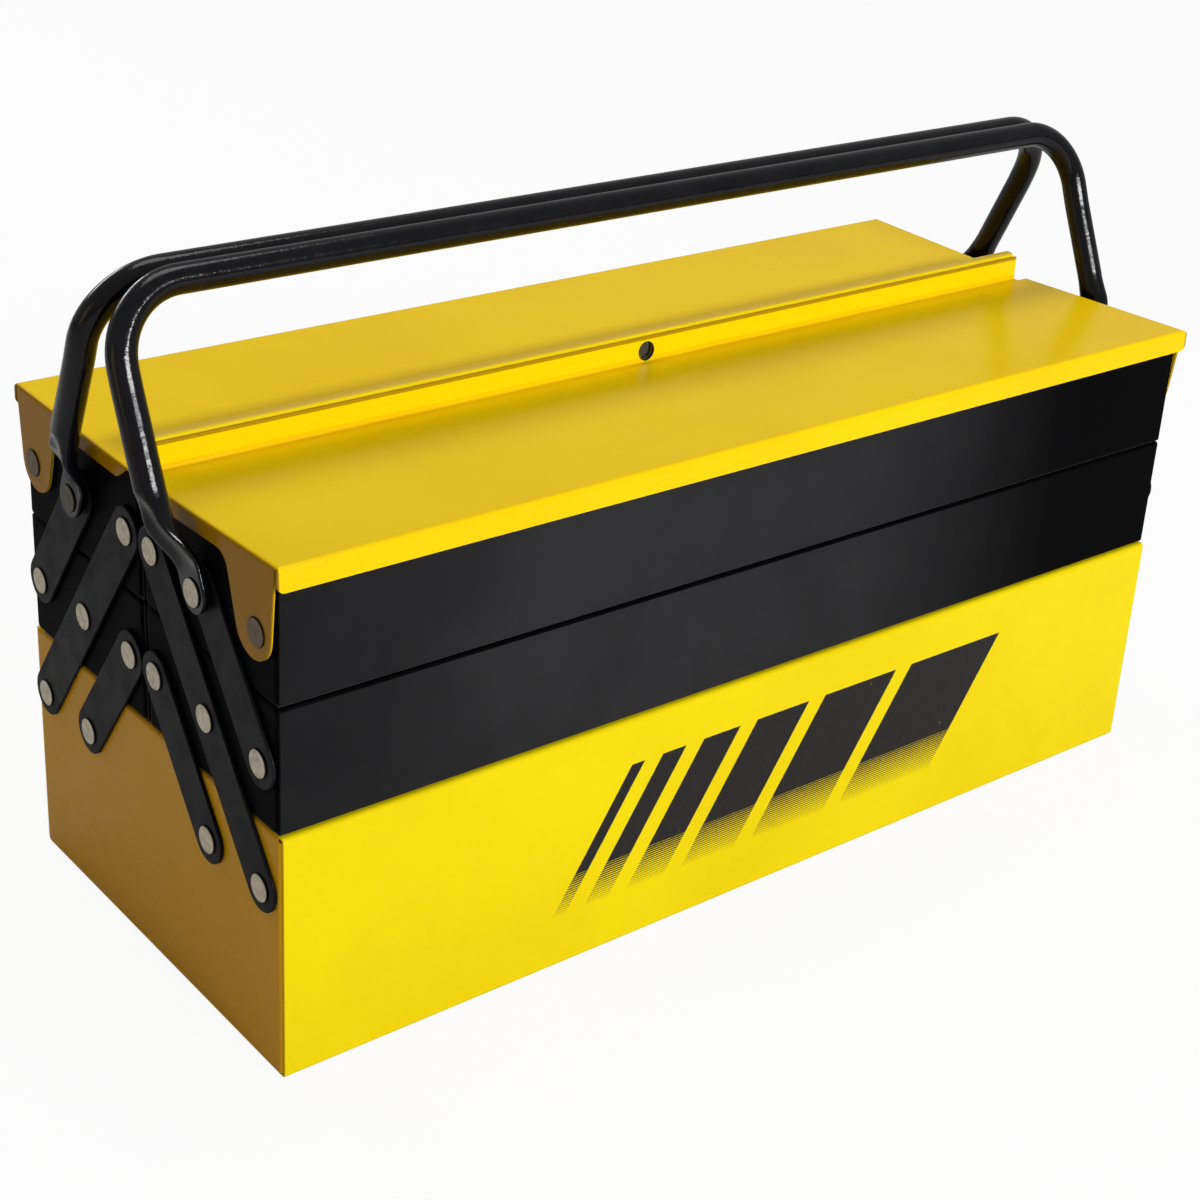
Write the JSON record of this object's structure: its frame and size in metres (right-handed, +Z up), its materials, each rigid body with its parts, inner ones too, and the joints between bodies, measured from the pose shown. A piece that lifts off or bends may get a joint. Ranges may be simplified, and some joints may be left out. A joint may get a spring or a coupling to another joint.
{
  "type": "cantilever tool box",
  "caption": "Folded sheet-steel cantilever tool box: riveted links swing stacked trays out to both sides over a deep base, with hinged lids and folding tube handles on top",
  "frame": {"origin": "middle of the box's outline as seen from above, at the height of the flat underside it stands on", "axes": "+X runs along the box towards its right end, +Y runs from the front to the rear, +Z points up"},
  "size_m": [0.5384, 0.2122, 0.3034],
  "materials": {
    "yellow_paint": "glossy yellow enamel on folded sheet steel",
    "black_paint": "satin black powder coat with a fine grain",
    "handle_paint": "gloss black enamel on steel tube",
    "rivet_steel": "dull zinc-plated steel"
  },
  "bodies": {
    "base": {"base_shell": "yellow_paint", "base_end_left": "yellow_paint", "base_end_right": "yellow_paint", "base_rivets": "rivet_steel"},
    "front_long_links": {"front_long_link_left": "black_paint", "front_long_link_right": "black_paint"},
    "front_lower_links": {"front_lower_link_left": "black_paint", "front_lower_link_right": "black_paint"},
    "front_middle_tray": {"front_middle_tray_shell": "black_paint", "front_middle_tray_end_left": "black_paint", "front_middle_tray_end_right": "black_paint", "front_middle_tray_rivets": "rivet_steel"},
    "front_upper_links": {"front_upper_link_left": "black_paint", "front_upper_link_right": "black_paint"},
    "front_upper_tray": {"front_upper_tray_shell": "black_paint", "front_upper_tray_end_left": "black_paint", "front_upper_tray_end_right": "black_paint", "front_upper_tray_rivets": "rivet_steel", "front_handle_spacers": "rivet_steel"},
    "front_lid": {"front_lid": "yellow_paint"},
    "front_handle": {"front_handle": "handle_paint"},
    "rear_long_links": {"rear_long_link_left": "black_paint", "rear_long_link_right": "black_paint"},
    "rear_lower_links": {"rear_lower_link_left": "black_paint", "rear_lower_link_right": "black_paint"},
    "rear_middle_tray": {"rear_middle_tray_shell": "black_paint", "rear_middle_tray_end_left": "black_paint", "rear_middle_tray_end_right": "black_paint", "rear_middle_tray_rivets": "rivet_steel"},
    "rear_upper_links": {"rear_upper_link_left": "black_paint", "rear_upper_link_right": "black_paint"},
    "rear_upper_tray": {"rear_upper_tray_shell": "black_paint", "rear_upper_tray_end_left": "black_paint", "rear_upper_tray_end_right": "black_paint", "rear_upper_tray_rivets": "rivet_steel", "rear_handle_spacers": "rivet_steel"},
    "rear_lid": {"rear_lid": "yellow_paint"},
    "rear_handle": {"rear_handle": "handle_paint"}
  },
  "joints": [
    {"name": "front_long_link_swing", "type": "hinge", "parent": "base", "child": "front_long_links", "pos_m": [0, -0.091, 0.083], "axis": [1, 0, 0], "range_deg": [0, 72.5]},
    {"name": "front_lower_link_swing", "type": "hinge", "parent": "base", "child": "front_lower_links", "pos_m": [0, -0.0508, 0.083], "axis": [1, 0, 0], "range_deg": [0, 72.5]},
    {"name": "front_middle_tray_level", "type": "hinge", "parent": "front_long_links", "child": "front_middle_tray", "pos_m": [0, -0.0508, 0.1375], "axis": [1, 0, 0], "range_deg": [-72.5, 0]},
    {"name": "front_upper_link_swing", "type": "hinge", "parent": "front_middle_tray", "child": "front_upper_links", "pos_m": [0, -0.091, 0.1375], "axis": [1, 0, 0], "range_deg": [0, 72.5]},
    {"name": "front_upper_tray_level", "type": "hinge", "parent": "front_long_links", "child": "front_upper_tray", "pos_m": [0, -0.0106, 0.192], "axis": [1, 0, 0], "range_deg": [-72.5, 0]},
    {"name": "front_lid_hinge", "type": "hinge", "parent": "front_upper_tray", "child": "front_lid", "pos_m": [0, -0.091, 0.192], "axis": [1, 0, 0], "range_deg": [0, 95]},
    {"name": "front_handle_hinge", "type": "hinge", "parent": "front_upper_tray", "child": "front_handle", "pos_m": [0, -0.0508, 0.192], "axis": [1, 0, 0], "range_deg": [0, 165]},
    {"name": "rear_long_link_swing", "type": "hinge", "parent": "base", "child": "rear_long_links", "pos_m": [0, 0.091, 0.083], "axis": [-1, 0, 0], "range_deg": [0, 72.5]},
    {"name": "rear_lower_link_swing", "type": "hinge", "parent": "base", "child": "rear_lower_links", "pos_m": [0, 0.0508, 0.083], "axis": [-1, 0, 0], "range_deg": [0, 72.5]},
    {"name": "rear_middle_tray_level", "type": "hinge", "parent": "rear_long_links", "child": "rear_middle_tray", "pos_m": [0, 0.0508, 0.1375], "axis": [-1, 0, 0], "range_deg": [-72.5, 0]},
    {"name": "rear_upper_link_swing", "type": "hinge", "parent": "rear_middle_tray", "child": "rear_upper_links", "pos_m": [0, 0.091, 0.1375], "axis": [-1, 0, 0], "range_deg": [0, 72.5]},
    {"name": "rear_upper_tray_level", "type": "hinge", "parent": "rear_long_links", "child": "rear_upper_tray", "pos_m": [0, 0.0106, 0.192], "axis": [-1, 0, 0], "range_deg": [-72.5, 0]},
    {"name": "rear_lid_hinge", "type": "hinge", "parent": "rear_upper_tray", "child": "rear_lid", "pos_m": [0, 0.091, 0.192], "axis": [-1, 0, 0], "range_deg": [0, 95]},
    {"name": "rear_handle_hinge", "type": "hinge", "parent": "rear_upper_tray", "child": "rear_handle", "pos_m": [0, 0.0508, 0.192], "axis": [-1, 0, 0], "range_deg": [0, 165]}
  ],
  "couplings": [
    {"joint": "front_lower_link_swing", "follows": "front_long_link_swing", "ratio": 1},
    {"joint": "front_middle_tray_level", "follows": "front_long_link_swing", "ratio": -1},
    {"joint": "front_upper_link_swing", "follows": "front_long_link_swing", "ratio": 1},
    {"joint": "front_upper_tray_level", "follows": "front_long_link_swing", "ratio": -1},
    {"joint": "rear_lower_link_swing", "follows": "rear_long_link_swing", "ratio": 1},
    {"joint": "rear_middle_tray_level", "follows": "rear_long_link_swing", "ratio": -1},
    {"joint": "rear_upper_link_swing", "follows": "rear_long_link_swing", "ratio": 1},
    {"joint": "rear_upper_tray_level", "follows": "rear_long_link_swing", "ratio": -1}
  ]
}
